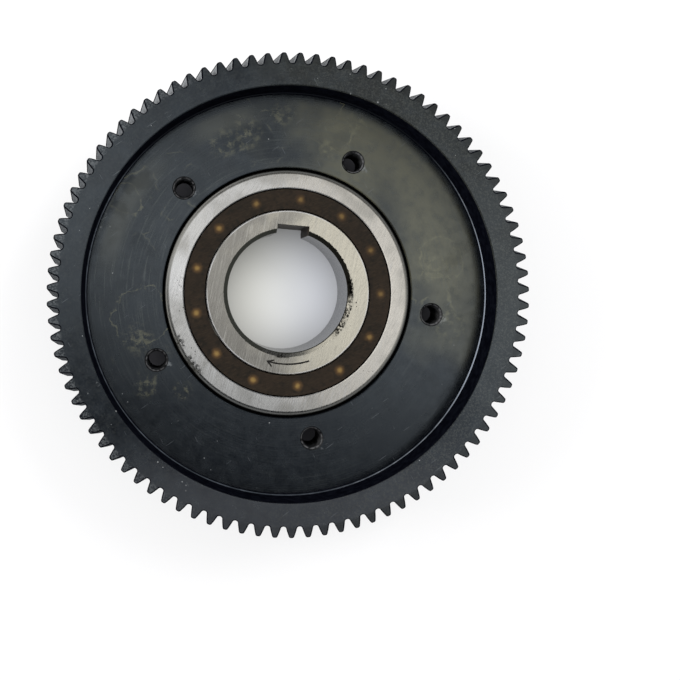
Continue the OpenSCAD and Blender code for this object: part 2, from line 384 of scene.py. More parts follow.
def finish_material(tree, colour, roughness, height, relief, fixed=None):
    """The surface shader. The relief is in mm, and fixed values are set on its sockets."""
    bump = add(tree, "ShaderNodeBump", {"Height": height, "Distance": relief * MM})
    shader = add(tree, "ShaderNodeBsdfPrincipled", {
        "Base Color": colour, "Roughness": roughness, "Normal": bump.outputs[0], **(fixed or {}),
    })
    add(tree, "ShaderNodeOutputMaterial", {0: shader.outputs[0]})


def lumps(tree, place, *kinds):
    """Noise for each kind of lump: its size in mm, its detail and its roughness."""
    return [
        add(tree, "ShaderNodeTexNoise", {
            "Vector": place, "Scale": 1 / size, "Detail": detail, "Roughness": roughness,
        }).outputs[0]
        for size, detail, roughness in kinds
    ]


def stretched(tree, place, angle, along, across):
    """Coordinates for marks that run at an angle, in degrees, about along by across mm."""
    turned = add(tree, "ShaderNodeMapping", {
        "Vector": place, "Rotation": (0, 0, math.radians(-angle)),
    }, vector_type="POINT").outputs[0]
    return add(tree, "ShaderNodeVectorMath", {
        0: turned, 1: (1 / along, 1 / across, 1 / across),
    }, operation="MULTIPLY").outputs[0]


def specks(tree, place, spacing, radius, chance):
    """1 on scattered specks, where each cell of that spacing has that chance of one."""
    cells = add(tree, "ShaderNodeTexVoronoi", {"Vector": place, "Scale": 1 / spacing})
    drawn = add(tree, "ShaderNodeSeparateColor", {0: cells.outputs["Color"]}).outputs
    size = combine(tree, (drawn[1], 0, 1, 0.4 * radius / spacing, radius / spacing))
    inside = combine(tree, cells.outputs["Distance"], size, by="LESS_THAN")
    return combine(tree, inside, combine(tree, drawn[0], chance, by="LESS_THAN"))


def scratches(tree, place, angle, length, width, chance):
    """1 on short fine scratches that run at about one angle."""
    return specks(tree, stretched(tree, place, angle, length, width), 1, 0.3, chance)


def distances(tree, place, areas):
    """For each round area of x, y and radius, the distance from its middle, and its radius."""
    flat = add(tree, "ShaderNodeVectorMath", {0: place, 1: (1, 1, 0)}, operation="MULTIPLY")
    for x, y, radius in areas:
        away = add(tree, "ShaderNodeVectorMath", {
            0: flat.outputs[0], 1: (x, y, 0),
        }, operation="DISTANCE")
        yield away.outputs["Value"], radius


def spots(tree, place, areas):
    """1 in the middle of each round area, and 0 outside them all."""
    fading = [(away, radius, 0.3 * radius) for away, radius in distances(tree, place, areas)]
    return combine(tree, 0, *fading, by="MAXIMUM")


# Round areas of x, y and radius in mm: where the photograph shows dried oil on the web, white
# dust on the rim and faces that were wiped, and where highlights are painted beside the holes
OIL_BLOTS = (
    (-37, -11.5, 5), (-35, -22.5, 4.5), (-26, -24, 3), (-1, 44.5, 4), (-11, 39.5, 6), (-16, 37, 5),
    (37, 6, 5), (41, -8, 6), (17, 42, 4), (10, 36, 3),
)
OIL_RINGS = ((-39.5, 22.5, 3.8), (-36, -6, 7), (38, 8, 5.5))
OIL_FILMS = ((-33, 24, 18), (-8, 40, 14), (14, 41, 11), (38, 2, 15), (-36, -16, 9))
FILM_PATCH = 8  # width of one patch of the oil film
WIPED_AREAS = ((-40, 20, 20), (-16, 42, 12))
DUST_FIELDS = ((-3, 54, 12), (-44, -30, 12), (20, 50, 10), (-50, 15, 10), (-30, -43, 8))
HOLE_ANGLES = [HOLE_PHASE + TAU * k / HOLE_COUNT for k in range(HOLE_COUNT)]
# Painted highlights, one at the lower right of each tapped hole.
PAINTED_HOLE_GLINTS = [  # one at the lower right of each tapped hole
    (HOLE_CIRCLE_R * math.cos(a) + 2.6, HOLE_CIRCLE_R * math.sin(a) - 1.4, 1.7)
    for a in HOLE_ANGLES
]


def wandering(tree, place, size, reach):
    """Coordinates that swing to and fro by up to reach mm, in swings of a size in mm."""
    swing = add(tree, "ShaderNodeTexNoise", {"Vector": place, "Scale": 1 / size, "Detail": 3})
    centred = add(tree, "ShaderNodeVectorMath", {
        0: swing.outputs["Color"], 1: (0.5, 0.5, 0.5),
    }, operation="SUBTRACT").outputs[0]
    return add(tree, "ShaderNodeVectorMath", {
        0: centred, 1: (2 * reach, 2 * reach, 2 * reach), 2: place,
    }, operation="MULTIPLY_ADD").outputs[0]


def oil_film(tree, place):
    """Patches of thin dried oil: 1 on the dark ones, and 1 on the light edges of them all."""
    cells = {"Vector": wandering(tree, place, 9, 7), "Scale": 1 / FILM_PATCH}
    patches = add(tree, "ShaderNodeTexVoronoi", cells, voronoi_dimensions="2D")
    drawn = add(tree, "ShaderNodeSeparateColor", {0: patches.outputs["Color"]}).outputs[0]
    edge = add(
        tree, "ShaderNodeTexVoronoi", cells, voronoi_dimensions="2D",
        feature="DISTANCE_TO_EDGE").outputs["Distance"]
    [broken] = lumps(tree, place, (5, 3, 0.5))
    within = spots(tree, place, OIL_FILMS)
    dark = combine(tree, (drawn, 0.5, 0.4), (edge, 0, 1.6 / FILM_PATCH), within)
    line = combine(tree, (edge, 0.5 / FILM_PATCH, 0), (broken, 0.48, 0.64), within)
    return dark, line


def oil_rings(tree, place, ragged):
    """1 on the edges of the round oil stains."""
    [wave] = lumps(tree, place, (4, 3, 0.5))
    wavy = combine(tree, (wave, 0.2, 0.8, -1.3, 1.3))
    lines = []
    for away, radius in distances(tree, place, OIL_RINGS):
        past_line = combine(tree, away, wavy, -radius, by="ADD")
        off_line = add(tree, "ShaderNodeMath", {0: past_line}, operation="ABSOLUTE").outputs[0]
        lines.append((off_line, 0.35, 0.05))
    return combine(tree, combine(tree, *lines, by="MAXIMUM"), (ragged, 0.4, 0.6))


def smeared_arcs(tree, x, y, radius):
    """Noise in long thin arcs round the bore axis, such as wiping leaves."""
    across, up = (combine(tree, combine(tree, part, radius, by="DIVIDE"), 4) for part in (x, y))
    curled = add(tree, "ShaderNodeCombineXYZ", {
        "X": across, "Y": up, "Z": combine(tree, radius, 2.2),
    }).outputs[0]
    return lumps(tree, curled, (1, 4, 0.65))[0]


def gear_fields(tree):
    """Where a point of the gear lies, in mm, and the patterns that its finish is made of."""
    place = place_in_mm(tree)
    x, y, z, radius = from_axis(tree, place)
    cloud, patch, mottle, ragged, grain = lumps(
        tree, place, (18, 3, 0.5), (9, 4, 0.6), (2.5, 4, 0.6), (1.6, 4, 0.7), (0.45, 3, 0.7))
    return SimpleNamespace(
        place=place, x=x, y=y, z=z, radius=radius,
        cloud=cloud, patch=patch, mottle=mottle, ragged=ragged, grain=grain,
        on_web=combine(
            tree, (z, WEB_FRONT + 0.7, WEB_FRONT + 0.2), (z, WEB_FRONT - 0.7, WEB_FRONT - 0.2)),
        on_rim=combine(tree, (z, RIM_FRONT - 0.5, RIM_FRONT - 0.2)),
    )


def oxide_tones(tree, at):
    """The oxide: olive at the right of the web. Painted shade darkens the bottom of the web,
    painted reflection of the wall keeps the web dark beside it, and painted light makes the
    bottom of the rim paler.
    """
    # Painted reflection of the wall: the web within a few mm of it keeps the dark base colour.
    beyond_painted_wall_reflection = combine(tree, (at.radius, RECESS_R - 0.8, RECESS_R - 3.5), at.on_web)
    warm_faces = combine(tree, beyond_painted_wall_reflection, combine(tree, at.on_rim, 0.12), by="MAXIMUM")
    toward_olive = combine(
        tree, at.x, combine(tree, at.y, 0.7), (at.cloud, 0.3, 0.7, -9, 9), by="ADD")
    grainy = combine(tree, combine(tree, (at.x, -20, 35, 0.15, 0.4), at.on_rim), 0.1, by="MAXIMUM")
    colour = coat(tree, "07090E", "13171C", (at.patch, 0.35, 0.65))
    # Painted shade: the web darkens towards the bottom.
    colour = coat(tree, colour, "03050B", (at.y, -10, -32, 0, 0.7), at.on_web)
    colour = coat(tree, colour, "504E3D", (toward_olive, 20, 48), warm_faces)
    # The mottle thins towards the bottom, as part of the painted shade there.
    colour = coat(tree, colour, "2A2E31", (at.mottle, 0.4, 0.75, 0, 0.35), (at.y, -25, -5, 0.2, 1))
    # Painted light: the bottom of the rim is paler.
    colour = coat(tree, colour, "46484C", (at.y, -30, -50, 0, 0.5), at.on_rim)
    return coat(tree, colour, "4A4B46", (at.grain, 0.46, 0.64), grainy)


def tooth_ends(tree, at, colour):
    """The front ends of the teeth: darker towards the right, and gritty at the left."""
    on_tooth = combine(tree, (at.radius, ROOT_R - 0.2, ROOT_R + 0.6), at.on_rim)
    colour = coat(tree, colour, "14130F", on_tooth, (at.x, -10, 30, 0.2, 0.6))
    return coat(tree, colour, "66696B", on_tooth, (at.x, -15, -40), (at.grain, 0.42, 0.6), 0.5)


def oil_marks(tree, at, colour, film_edge):
    """Blots, rings and thin edges of dried oil on the web."""
    blots = combine(tree, spots(tree, at.place, OIL_BLOTS), (at.ragged, 0.46, 0.66))
    rings = oil_rings(tree, at.place, at.ragged)
    oil = combine(tree, blots, rings, film_edge, by="MAXIMUM")
    return coat(tree, colour, "64624C", oil, at.on_web, 0.6)


def wear_marks(tree, at, colour):
    """Wiped areas and wiping arcs on the web, painted highlights beside its holes, and fine
    scratches.
    """
    wiped = spots(tree, at.place, WIPED_AREAS)
    colour = coat(
        tree, colour, "54544A", (at.radius, 41, 44.5), (at.radius, RECESS_R - 1.5, 46.5), wiped,
        at.on_web, 0.45)
    # Painted highlights beside the holes.
    hole_glints = spots(tree, at.place, PAINTED_HOLE_GLINTS)
    colour = coat(tree, colour, "85888A", hole_glints, (at.ragged, 0.5, 0.6, 0, 0.5), at.on_web)
    arcs = smeared_arcs(tree, at.x, at.y, at.radius)
    often = combine(
        tree, (at.cloud, 0.35, 0.6, 0.1, 0.5), (at.x, -15, -38, 0, 0.75), by="MAXIMUM")
    colour = coat(
        tree, colour, "3E413E", (arcs, 0.5, 0.72), at.on_web, often, (at.y, -25, 0, 0.35, 1))
    scratched = combine(
        tree, scratches(tree, at.place, 35, 4.5, 0.35, 0.03),
        scratches(tree, at.place, 118, 3.5, 0.3, 0.02), by="MAXIMUM")
    return coat(tree, colour, "6A6E72", scratched, 0.25)


def settled_dust(tree, at, colour):
    """White dust, which lies more thickly in some fields."""
    thick = combine(
        tree, specks(tree, at.place, 1.1, 0.2, 0.25), spots(tree, at.place, DUST_FIELDS))
    dust = combine(tree, specks(tree, at.place, 1.6, 0.16, 0.05), thick, by="MAXIMUM")
    return coat(tree, colour, "A2A4A4", dust, 0.6)


def black_oxide():
    # Turned medium-carbon steel with a hot black oxide finish: a satin blue-black that turns
    # olive on the right of the web, with faint turning rings and a fine grain, dried oil that
    # dulls it in patches, wiped places, and dust. Painted shade darkens the bottom of the web,
    # painted reflection of the wall keeps the web dark beside it, painted light makes the bottom
    # of the rim paler, and painted highlights lie beside the holes. The rings and the grain are
    # drawn about three times as coarse as real ones, so that they show.
    material, tree = new_material("black_oxide_turned_steel")
    at = gear_fields(tree)
    dull_film, film_edge = oil_film(tree, at.place)
    colour = oxide_tones(tree, at)
    colour = tooth_ends(tree, at, colour)
    colour = oil_marks(tree, at, colour, film_edge)
    colour = wear_marks(tree, at, colour)
    colour = settled_dust(tree, at, colour)
    roughness = combine(
        tree, (at.mottle, 0.3, 0.7, 0.19, 0.28), combine(tree, dull_film, 0.12), by="ADD")
    turning_rings = add(tree, "ShaderNodeTexNoise", {
        "W": combine(tree, at.radius, at.z, by="ADD"),
        "Scale": 1 / 0.35, "Detail": 2, "Roughness": 0.6,
    }, noise_dimensions="1D").outputs[0]
    height = combine(tree, turning_rings, combine(tree, at.grain, 0.8), by="ADD")
    finish_material(tree, colour, roughness, height, 0.005, {
        "IOR": 1.75, "Specular Tint": (0.8, 0.91, 1, 1),
    })
    return material


def recess_wall():
    # The wall of the recess: the oxide is drawn matt and deep blue-black, with no reflection,
    # as painted shade.
    material, tree = new_material("black_oxide_wall_painted_shade")
    [mottle] = lumps(tree, place_in_mm(tree), (1.5, 3, 0.6))
    colour = coat(tree, "06070D", "0F1118", (mottle, 0.35, 0.7))
    finish_material(tree, colour, 0.7, mottle, 0.01, {"Specular IOR Level": 0})
    return material


def corner_painted_highlight():
    # The middle of the recess's rounded corner carries a painted highlight: a fine line of light
    # is painted round the recess. It is brightest on the right and dull at the top.
    material, tree = new_material("black_oxide_corner_painted_highlight")
    place = place_in_mm(tree)
    x, y = from_axis(tree, place)[:2]
    [mottle] = lumps(tree, place, (3, 3, 0.6))
    colour = coat(tree, "5C6168", "868C94", (mottle, 0.35, 0.7))
    colour = coat(tree, colour, "A0A8B4", (y, 20, 5), (y, -35, -20), (x, 20, 40))
    colour = coat(tree, colour, "26282C", (y, 22, 38))
    roughness = combine(tree, (mottle, 0.3, 0.7, 0.12, 0.2))
    finish_material(tree, colour, roughness, mottle, 0.004, {"Metallic": 1})
    return material


def hobbed_teeth():
    # The same oxide on the flanks, which a hob cut. Their grey is a painted reflection of the
    # white floor, with grit and fine bright lines along the teeth. Painted light makes them paler
    # at the top of the gear, and they are black again on the tips. The grit is drawn coarse enough
    # to show.
    material, tree = new_material("black_oxide_teeth_painted_reflection")
    place = place_in_mm(tree)
    _, y, _, radius = from_axis(tree, place)
    [grit] = lumps(tree, place, (0.4, 4, 0.75))
    lines = add(tree, "ShaderNodeTexNoise", {
        "W": radius, "Scale": 1 / 0.3, "Detail": 1,
    }, noise_dimensions="1D").outputs[0]
    # Painted reflection: the grey of the flanks.
    colour = coat(tree, "46494C", "7C7F82", (grit, 0.38, 0.66))
    colour = coat(tree, colour, "B4B6B8", (lines, 0.6, 0.75, 0, 0.5))
    # Painted light: paler at the top of the gear.
    colour = coat(tree, colour, "B4B6B8", (y, 30, 55, 0, 0.5))
    colour = coat(tree, colour, "08090B", (radius, TIP_R - 0.65, TIP_R - 0.4))
    finish_material(tree, colour, 0.8, grit, 0.03, {"Specular IOR Level": 0})
    return material


def tapped_thread():
    # The thread that a tap cut through the web and the same oxide bath blackened: painted darker
    # than the web as painted shade in the hole, with an oily gloss on its crests and a painted
    # highlight in a ring half way down its mouth.
    material, tree = new_material("black_oxide_tapped_thread")
    place = place_in_mm(tree)
    z = from_axis(tree, place)[2]
    [grime] = lumps(tree, place, (0.8, 3, 0.5))
    # Painted shade in the hole: darker than the web.
    colour = coat(tree, "040506", "0E0E0F", (grime, 0.35, 0.7))
    # Painted highlight: a ring half way down the mouth.
    colour = coat(
        tree, colour, "6E6E70", (z, WEB_FRONT - 0.6, WEB_FRONT - 0.45),
        (z, WEB_FRONT - 0.15, WEB_FRONT - 0.3), (grime, 0.35, 0.6), 0.6)
    finish_material(tree, colour, 0.4, grime, 0.02)
    return material


def ground_face(tree, place, colours, streaks):
    """The colour of a ground face, and its fine streaks. The colours are those on the left, on
    the right, of light streaks and of dark ones. Streaks are two angles, a width and a
    strength. They are drawn wider than a real wheel's, so that they show."""
    left, right, light, dark = colours
    main_angle, cross_angle, width, strength = streaks
    x = from_axis(tree, place)[0]
    [fine] = lumps(tree, stretched(tree, place, main_angle, 30 * width, width), (1, 4, 0.7))
    [cross] = lumps(tree, stretched(tree, place, cross_angle, 20 * width, width), (1, 4, 0.7))
    broad, cloud, grain = lumps(tree, place, (11, 2, 0.5), (7, 3, 0.5), (0.35, 3, 0.75))
    side = combine(tree, (x, -BORE_R, BORE_R), (cloud, 0.3, 0.7, -0.25, 0.25), by="ADD")
    patchy = combine(tree, (broad, 0.4, 0.6, 0.4 * strength, strength), (x, -5, 20, 1, 0.5))
    colour = coat(tree, left, right, (side, 0.1, 0.9))
    colour = coat(tree, colour, light, (fine, 0.46, 0.68), patchy)
    colour = coat(tree, colour, dark, (fine, 0.48, 0.3, 0, 0.6), patchy)
    colour = coat(tree, colour, dark, (grain, 0.5, 0.36, 0, 0.18))
    colour = coat(tree, colour, dark, (cross, 0.5, 0.75, 0, 0.5 * strength))
    return colour, fine


def rust_and_soot(tree, place, rusty, sooty):
    """1 on small rust pits and on clumps of soot, each within round areas."""
    pits = combine(tree, specks(tree, place, 0.5, 0.17, 0.3), spots(tree, place, rusty))
    [grime] = lumps(tree, place, (0.7, 4, 0.75))
    return pits, combine(tree, spots(tree, place, sooty), (grime, 0.42, 0.56))


def outer_ring_steel():
    # Bearing steel with its faces ground on a surface grinder, whose wheel left fine slanting
    # streaks, with dull patches, a painted highlight at the left, and small rust pits. The rounded
    # outer edge is painted dark, as painted shade and dark reflection, after a painted grey line,
    # and dirt lies against it at the lower left.
    material, tree = new_material("surface_ground_outer_ring")
    place = place_in_mm(tree)
    radius = from_axis(tree, place)[3]
    colour, fine = ground_face(
        tree, place, ("EBEAE7", "EDE8DE", "FFFFFF", "908E89"), (76, 55, 0.3, 1))
    pits, soot = rust_and_soot(
        tree, place, ((-28, -4, 5), (-25, -14, 4), (-27, 2, 3), (20, -20, 2)),
        ((-24, -18, 4.5), (-26.5, -12, 2.5)))
    dirt = combine(tree, pits, combine(tree, soot, (radius, 27.8, 29.2)), by="MAXIMUM")
    [dull] = lumps(tree, place, (9, 2, 0.5))
    painted_dark_edge = combine(tree, (radius, SEAT_R - 1.05, SEAT_R - 0.55))
    colour = coat(tree, colour, "1E1B18", dirt, 0.85)
    colour = coat(tree, colour, "A5A39C", (dull, 0.45, 0.65, 0, 0.45))
    # Painted highlight on the left of the ring.
    colour = coat(tree, colour, "FFFFFF", spots(tree, place, [(-27, 4, 8)]), 0.7)
    # Painted reflection: a grey line where the rounding starts.
    colour = coat(tree, colour, "9A9890", (radius, SEAT_R - 1.75, SEAT_R - 1.35, 0, 0.8))
    # Painted shade and dark reflection: the rounded edge is dark.
    colour = coat(tree, colour, "171512", painted_dark_edge)
    roughness = combine(
        tree, (fine, 0.3, 0.7, 0.24, 0.32), dirt, combine(tree, painted_dark_edge, 0.5), by="MAXIMUM")
    finish_material(tree, colour, roughness, fine, 0.005, {"Metallic": 1})
    return material


def inner_ring_steel():
    # The same steel on the inner ring, darker and greyer on the left, with a painted highlight
    # along its outer edge. The bore is honed to a plain grey. Its chamfer is painted dark as a
    # painted reflection, paler on the left, except at the lower right, where it is left plain, with
    # soot on its edge.
    material, tree = new_material("surface_ground_inner_ring")
    place = place_in_mm(tree)
    x, y, z, radius = from_axis(tree, place)
    # Darker and greyer towards the left.
    colour, fine = ground_face(
        tree, place, ("A4A19A", "ECE6D4", "E8E5DC", "7E7B75"), (78, 55, 0.28, 0.7))
    cloud, ragged = lumps(tree, place, (9, 2, 0.5), (0.6, 4, 0.7))
    # Painted highlight along the outer edge.
    colour = coat(
        tree, colour, "FFFFFF", (radius, INNER_TRACK_R - 0.45, INNER_TRACK_R - 0.35),
        (cloud, 0.35, 0.6, 0.1, 0.7))
    colour = coat(tree, colour, "838382", (radius, BORE_R + 0.12, BORE_R + 0.02))
    edge = combine(tree, radius, (ragged, 0.3, 0.7, -0.15, 0.15), by="ADD")
    # The stretch left without the painted dark lies around the lower right, beyond a line across
    # the ring.
    across = combine(tree, combine(tree, x, 0.5), combine(tree, y, -0.87), ragged, by="ADD")
    painted_dark_reach = combine(
        tree, (across, 10.5, 8.5), (radius, BORE_R + 0.25, BORE_R + 0.15), by="MAXIMUM")
    chamfer_painted_dark = combine(
        tree, (edge, BORE_R + 1.05, BORE_R + 0.95),
        (z, CLUTCH_FRONT - 1.02, CLUTCH_FRONT - 0.98), painted_dark_reach)
    # Painted dark reflection on the bore chamfer, paler at the left.
    painted_dark_tone = coat(tree, "7E7F74", "2C2A24", (x, -BORE_R, BORE_R))
    colour = coat(tree, colour, painted_dark_tone, chamfer_painted_dark)
    pits, soot = rust_and_soot(
        tree, place, ((16.5, -3, 2), (14.5, -8, 2)),
        ((16, 1, 4), (15.6, -5, 5), (13.6, -9, 4), (-1.5, -16.2, 2.5)))
    soot = combine(tree, soot, (radius, 16.6, 16.1), (z, CLUTCH_FRONT - 1, CLUTCH_FRONT - 0.7))
    dirt = combine(tree, pits, soot, by="MAXIMUM")
    colour = coat(tree, colour, "161412", dirt, 0.9)
    roughness = combine(
        tree, (fine, 0.3, 0.7, 0.24, 0.32), dirt, combine(tree, chamfer_painted_dark, 0.5), by="MAXIMUM")
    finish_material(tree, colour, roughness, fine, 0.004, {"Metallic": 1})
    return material


def broached_steel():
    # The keyway, pulled out with a broach: fine marks along the axis, under oil that has
    # dried to a dull brown and hides the shine of the metal.
    material, tree = new_material("broached_bearing_steel")
    place = place_in_mm(tree)
    [marks] = lumps(tree, stretched(tree, place, 0, 0.12, 0.12), (1, 1, 0.5))
    [grime] = lumps(tree, place, (2, 3, 0.5))
    colour = coat(tree, "2E2822", "463E35", (grime, 0.3, 0.7))
    finish_material(tree, colour, 0.5, marks, 0.004, {"Specular IOR Level": 0.1})
    return material


def etched_mark():
    # The engraved arrow: its floor is left dull and dark by the etching.
    material, tree = new_material("etched_bearing_steel")
    [grain] = lumps(tree, place_in_mm(tree), (0.15, 2, 0.5))
    colour = coat(tree, "0E0C0A", "1C1916", (grain, 0.3, 0.7))
    finish_material(tree, colour, 0.7, grain, 0.01)
    return material


def from_nearest_ball(tree, x, y, radius):
    """How far a point lies sideways and outwards from the middle of the nearest ball, in mm."""
    half_step = TAU / BALL_COUNT / 2
    angle = combine(tree, y, x, by="ARCTAN2")
    from_ball = add(tree, "ShaderNodeMath", {
        0: combine(tree, angle, -BALL_PHASE, by="ADD"), 1: half_step, 2: -half_step,
    }, operation="WRAP").outputs[0]
    return combine(tree, from_ball, radius), combine(tree, radius, -PITCH_TRACK_R - 0.15, by="ADD")


def brown_plastic():
    # Glass-filled polyamide, injection moulded and heat-browned: dull brown and mottled, and a
    # little translucent. Over each ball behind it a golden spot is painted as the ball's glint,
    # and painted light makes the spots brighter at the lower left. The back cover has no balls
    # behind it and stays plain.
    material, tree = new_material("moulded_brown_polyamide")
    place = place_in_mm(tree)
    x, y, z, radius = from_axis(tree, place)
    cloud, blur = lumps(tree, place, (5, 3, 0.5), (1.2, 3, 0.5))
    [fibres] = lumps(tree, stretched(tree, place, 20, 1.2, 0.15), (1, 2, 0.5))
    sideways, outwards = from_nearest_ball(tree, x, y, radius)
    sideways = combine(tree, sideways, (blur, 0.2, 0.8, -0.2, 0.2), by="ADD")
    offset = add(tree, "ShaderNodeCombineXYZ", {"X": sideways, "Y": outwards}).outputs[0]
    away = add(tree, "ShaderNodeVectorMath", {0: offset}, operation="LENGTH").outputs["Value"]
    painted_glint_strength = combine(
        tree, (combine(tree, x, y, by="ADD"), -15, 25, 1, 0.5), (z, BALL_Z - 4, BALL_Z))
    colour = coat(tree, "1F1912", "281F16", (cloud, 0.3, 0.7))
    colour = coat(tree, colour, "352B20", (fibres, 0.45, 0.7, 0, 0.6))
    colour = coat(tree, colour, "15130E", (blur, 0.5, 0.3, 0, 0.6))
    # Painted glints over the balls, brighter at the lower left.
    colour = coat(tree, colour, "644A2A", (away, 1.7, 0.3, 0, 0.75), painted_glint_strength)
    colour = coat(tree, colour, "8C7240", (away, 0.9, 0.1, 0, 0.75), painted_glint_strength)
    finish_material(tree, colour, 0.5, fibres, 0.01, {"Specular IOR Level": 0.3})
    return material


def plain_metal(name, dark, light, roughness, grain_angle, grain_width):
    """Bare metal in two tones, with a grain that runs at an angle in degrees."""
    material, tree = new_material(name)
    place = stretched(tree, place_in_mm(tree), grain_angle, 3, grain_width)
    [grain] = lumps(tree, place, (1, 3, 0.5))
    colour = coat(tree, dark, light, (grain, 0.3, 0.7))
    rough = combine(tree, (grain, 0.3, 0.7, roughness, roughness + 0.1))
    finish_material(tree, colour, rough, grain, 0.002, {"Metallic": 1})
    return material


def make_materials():
    return {
        "gear": black_oxide(),
        "wall": recess_wall(),
        "corner": corner_painted_highlight(),
        "teeth": hobbed_teeth(),
        "thread": tapped_thread(),
        "outer_ring": outer_ring_steel(),
        "inner_ring": inner_ring_steel(),
        "keyway": broached_steel(),
        "arrow": etched_mark(),
        "plastic": brown_plastic(),
        # Two cages punched from cold-rolled strip: a dull grey with rolling lines.
        "sprag_cage": plain_metal("punched_cold_rolled_steel", "77777A", "8E8E90", 0.4, 0, 0.1),
        # Spring strip tempered to a straw tint.
        "spring": plain_metal("tempered_spring_strip", "8F8671", "A59A80", 0.3, 0, 0.08),
        # Lapped bearing balls: close to a mirror.
        "ball": plain_metal("lapped_ball_steel", "B8B8BA", "C8C8CA", 0.08, 30, 0.5),
        # Sprags drawn to shape, hardened and tumbled: darker than the rings.
        "sprag": plain_metal("tumbled_sprag_steel", "7A7875", "93918D", 0.28, 90, 0.1),
    }


MATERIALS = make_materials()


# The gear

HALF_PITCH = math.pi / TEETH
HELIX_TURN = TOOTH_WIDTH * math.tan(HELIX_ANGLE) / PITCH_R
FLANK_LOW = ROOT_R + ROOT_ROUND


def involute(angle):
    return math.tan(angle) - angle


def tooth_half_angle(r):
    return (
        HALF_PITCH / 2 - TOOTH_PLAY / PITCH_R / 2
        + involute(PRESSURE_ANGLE) - involute(math.acos(BASE_R / r))
    )


def half_tooth():
    """One side of a tooth, from the middle of the space to the middle of the crest, as pairs
    of radius and angle from the tooth's middle."""
    space = HALF_PITCH - tooth_half_angle(FLANK_LOW)
    side = [
        (FLANK_LOW - ROOT_ROUND * math.sin(t), HALF_PITCH - space * math.cos(t))
        for t in (math.radians(a) for a in (90, 60, 30))
    ]
    top = TIP_R - TIP_BREAK
    for i in range(FLANK_STEPS):
        r = FLANK_LOW + (top - FLANK_LOW) * i / (FLANK_STEPS - 1)
        side.append((r, tooth_half_angle(r)))
    start, corner = side[-1], (TIP_R, tooth_half_angle(TIP_R))
    end = (TIP_R, corner[1] - TIP_BREAK / TIP_R)
    for t in (1 / 3, 2 / 3, 1):
        side.append(tuple(
            (1 - t) ** 2 * a + 2 * t * (1 - t) * b + t * t * c
            for a, b, c in zip(start, corner, end)))
    return side


def tooth_outline(inset):
    """One tooth from space to space, as x and y about the tooth's middle, set in by a bit."""
    side = half_tooth()
    polar = [(r, -a) for r, a in side] + [(TIP_R, 0)] + [(r, a) for r, a in reversed(side)]
    flat = [Vector((r * math.cos(a), r * math.sin(a))) for r, a in polar]
    if not inset:
        return flat
    moved = []
    for i, point in enumerate(flat):
        if i in (0, len(flat) - 1):
            outward = point.normalized()
        else:
            along = (flat[i + 1] - flat[i]).normalized() + (flat[i] - flat[i - 1]).normalized()
            outward = Vector((along.y, -along.x)).normalized()
        moved.append(point - inset * outward)
    return moved


def body_outline():
    """The gear without its teeth, as radius and height, from the mouth of the recess round
    to the flange behind the teeth."""
    low = 0.3 * EDGE_BREAK  # places the middle of an edge's rounding
    corner = (RECESS_R - RECESS_FILLET, WEB_FRONT + RECESS_FILLET)
    return [
        (RECESS_R + EDGE_BREAK, RIM_FRONT),
        (RECESS_R + low, RIM_FRONT - low),
        (RECESS_R, RIM_FRONT - EDGE_BREAK),
        (RECESS_R, WEB_FRONT + RECESS_FILLET + HOLD),
        *arc(corner, RECESS_FILLET, 0, -90, FILLET_STEPS),
        (SEAT_R + EDGE_BREAK, WEB_FRONT),
        (SEAT_R + low, WEB_FRONT - low),
        (SEAT_R, WEB_FRONT - EDGE_BREAK),
        (SEAT_R, LIP_TOP),
        (LIP_R, LIP_TOP),
        (LIP_R, EDGE_BREAK),
        (LIP_R + EDGE_BREAK, 0),
        (HUB_R - TURNED_CHAMFER, 0),
        (HUB_R, TURNED_CHAMFER),
        (HUB_R, WEB_BACK - HUB_FILLET - HOLD),
        *arc(
            (HUB_R + HUB_FILLET, WEB_BACK - HUB_FILLET), HUB_FILLET, 180, 90, HUB_FILLET_STEPS),
        (FLANGE_R - TURNED_CHAMFER, WEB_BACK),
        (FLANGE_R, WEB_BACK + TURNED_CHAMFER),
        (FLANGE_R, RIM_BACK),
    ]


def gear_sector():
    """One tooth with its slice of the body. The slice is turned with the helix behind the lip,
    so that it meets the back of the tooth."""
    points, faces = [], []

    def add_row(flat, z, turn):
        cos, sin = math.cos(turn), math.sin(turn)
        start = len(points)
        points.extend((x * cos - y * sin, x * sin + y * cos, z) for x, y in flat)
        return list(range(start, len(points)))

    def join_rows(a, b):
        faces.extend((a[i], a[i + 1], b[i + 1], b[i]) for i in range(len(a) - 1))

    slices = [(RIM_FRONT, TOOTH_EDGE), (RIM_FRONT - TOOTH_EDGE, 0)]
    slices += [(RIM_FRONT - TOOTH_WIDTH * i / 3, 0) for i in (1, 2)]
    slices += [(RIM_BACK + TOOTH_EDGE, 0), (RIM_BACK, TOOTH_EDGE)]
    teeth_rows = [
        add_row(tooth_outline(inset), z, HELIX_TURN * (RIM_FRONT - z) / TOOTH_WIDTH)
        for z, inset in slices
    ]
    behind_lip = False
    body_rows = []
    for r, z in body_outline():
        behind_lip = behind_lip or (r, z) == (LIP_R, LIP_TOP)
        angles = [HALF_PITCH * (2 * i / SECTOR_STEPS - 1) for i in range(SECTOR_STEPS + 1)]
        flat = [(r * math.cos(a), r * math.sin(a)) for a in angles]
        body_rows.append(add_row(flat, z, HELIX_TURN if behind_lip else 0))
    for rows in (teeth_rows, body_rows):
        for a, b in zip(rows, rows[1:]):
            join_rows(a, b)
    faces.append(tuple(body_rows[0][::-1] + teeth_rows[0]))
    faces.append(tuple(teeth_rows[-1][::-1] + body_rows[-1]))
    return mesh_object("gear", points, faces)


